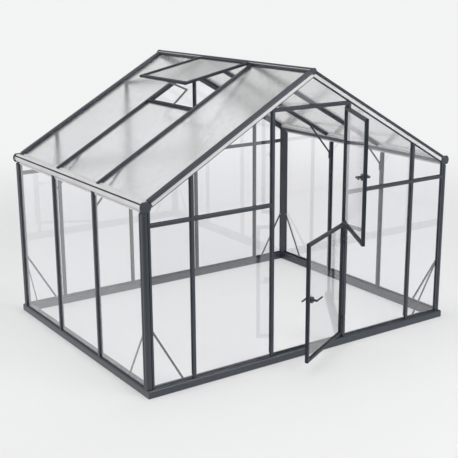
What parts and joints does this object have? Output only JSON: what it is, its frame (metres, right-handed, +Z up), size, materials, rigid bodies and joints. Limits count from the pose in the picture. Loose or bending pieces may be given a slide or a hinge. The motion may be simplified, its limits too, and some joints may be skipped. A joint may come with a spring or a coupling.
{
  "type": "glass greenhouse",
  "caption": "Free-standing glass greenhouse with an anthracite metal frame, pitched frosted roof with a raised vent, and a split hinged door in the gable.",
  "frame": {"origin": "on the ground, in the middle of the front sill's underside, below the doorway", "axes": "+X along the gable to the right as seen from the door, +Y from the door to the back, +Z up"},
  "size_m": [2.978, 2.8772, 2.2519],
  "materials": {
    "frame": "satin powder coat",
    "gutter": "satin",
    "glass": "clear",
    "roof_glass": "frosted",
    "handle": "satin"
  },
  "bodies": {
    "frame": {"sill_front": "frame", "sill_back": "frame", "sill_left": "frame", "sill_right": "frame", "corner_posts": "frame", "side_posts_left": "frame", "side_posts_right": "frame", "gutter_left": "gutter", "gutter_right": "gutter", "end_caps": "frame", "ridge": "frame", "rakes_front": "frame", "rakes_back": "frame", "roof_bars_left": "frame", "roof_bars_right": "frame", "front_mullions": "frame", "door_posts": "frame", "door_header": "frame", "front_transoms": "frame", "back_mullions": "frame", "back_posts": "frame", "back_rails": "frame", "front_glass": "glass", "back_glass": "glass", "left_glass": "glass", "right_glass": "glass", "roof_glass_left": "roof_glass", "roof_glass_right": "roof_glass", "vent_sill": "frame", "vent_stiles": "frame", "vent_rails": "frame", "vent_glass": "roof_glass", "vent_stay": "frame", "corner_braces": "frame", "knee_braces": "frame", "hinge_brackets": "frame"},
    "lower_door": {"lower_stiles": "frame", "lower_rails": "frame", "lower_glass": "glass", "lower_hinges": "frame", "lower_handle": "handle"},
    "upper_door": {"upper_stiles": "frame", "upper_rails": "frame", "upper_glass": "glass", "upper_hinges": "frame", "upper_handle": "handle"}
  },
  "joints": [
    {"name": "lower_door_hinge", "type": "hinge", "parent": "frame", "child": "lower_door", "pos_m": [0.347, -0.0233, 0.55], "axis": [0, 0, 1], "range_deg": [-27.5, 92.5]},
    {"name": "upper_door_hinge", "type": "hinge", "parent": "frame", "child": "upper_door", "pos_m": [0.347, -0.0233, 1.49], "axis": [0, 0, 1], "range_deg": [-61, 59]}
  ]
}
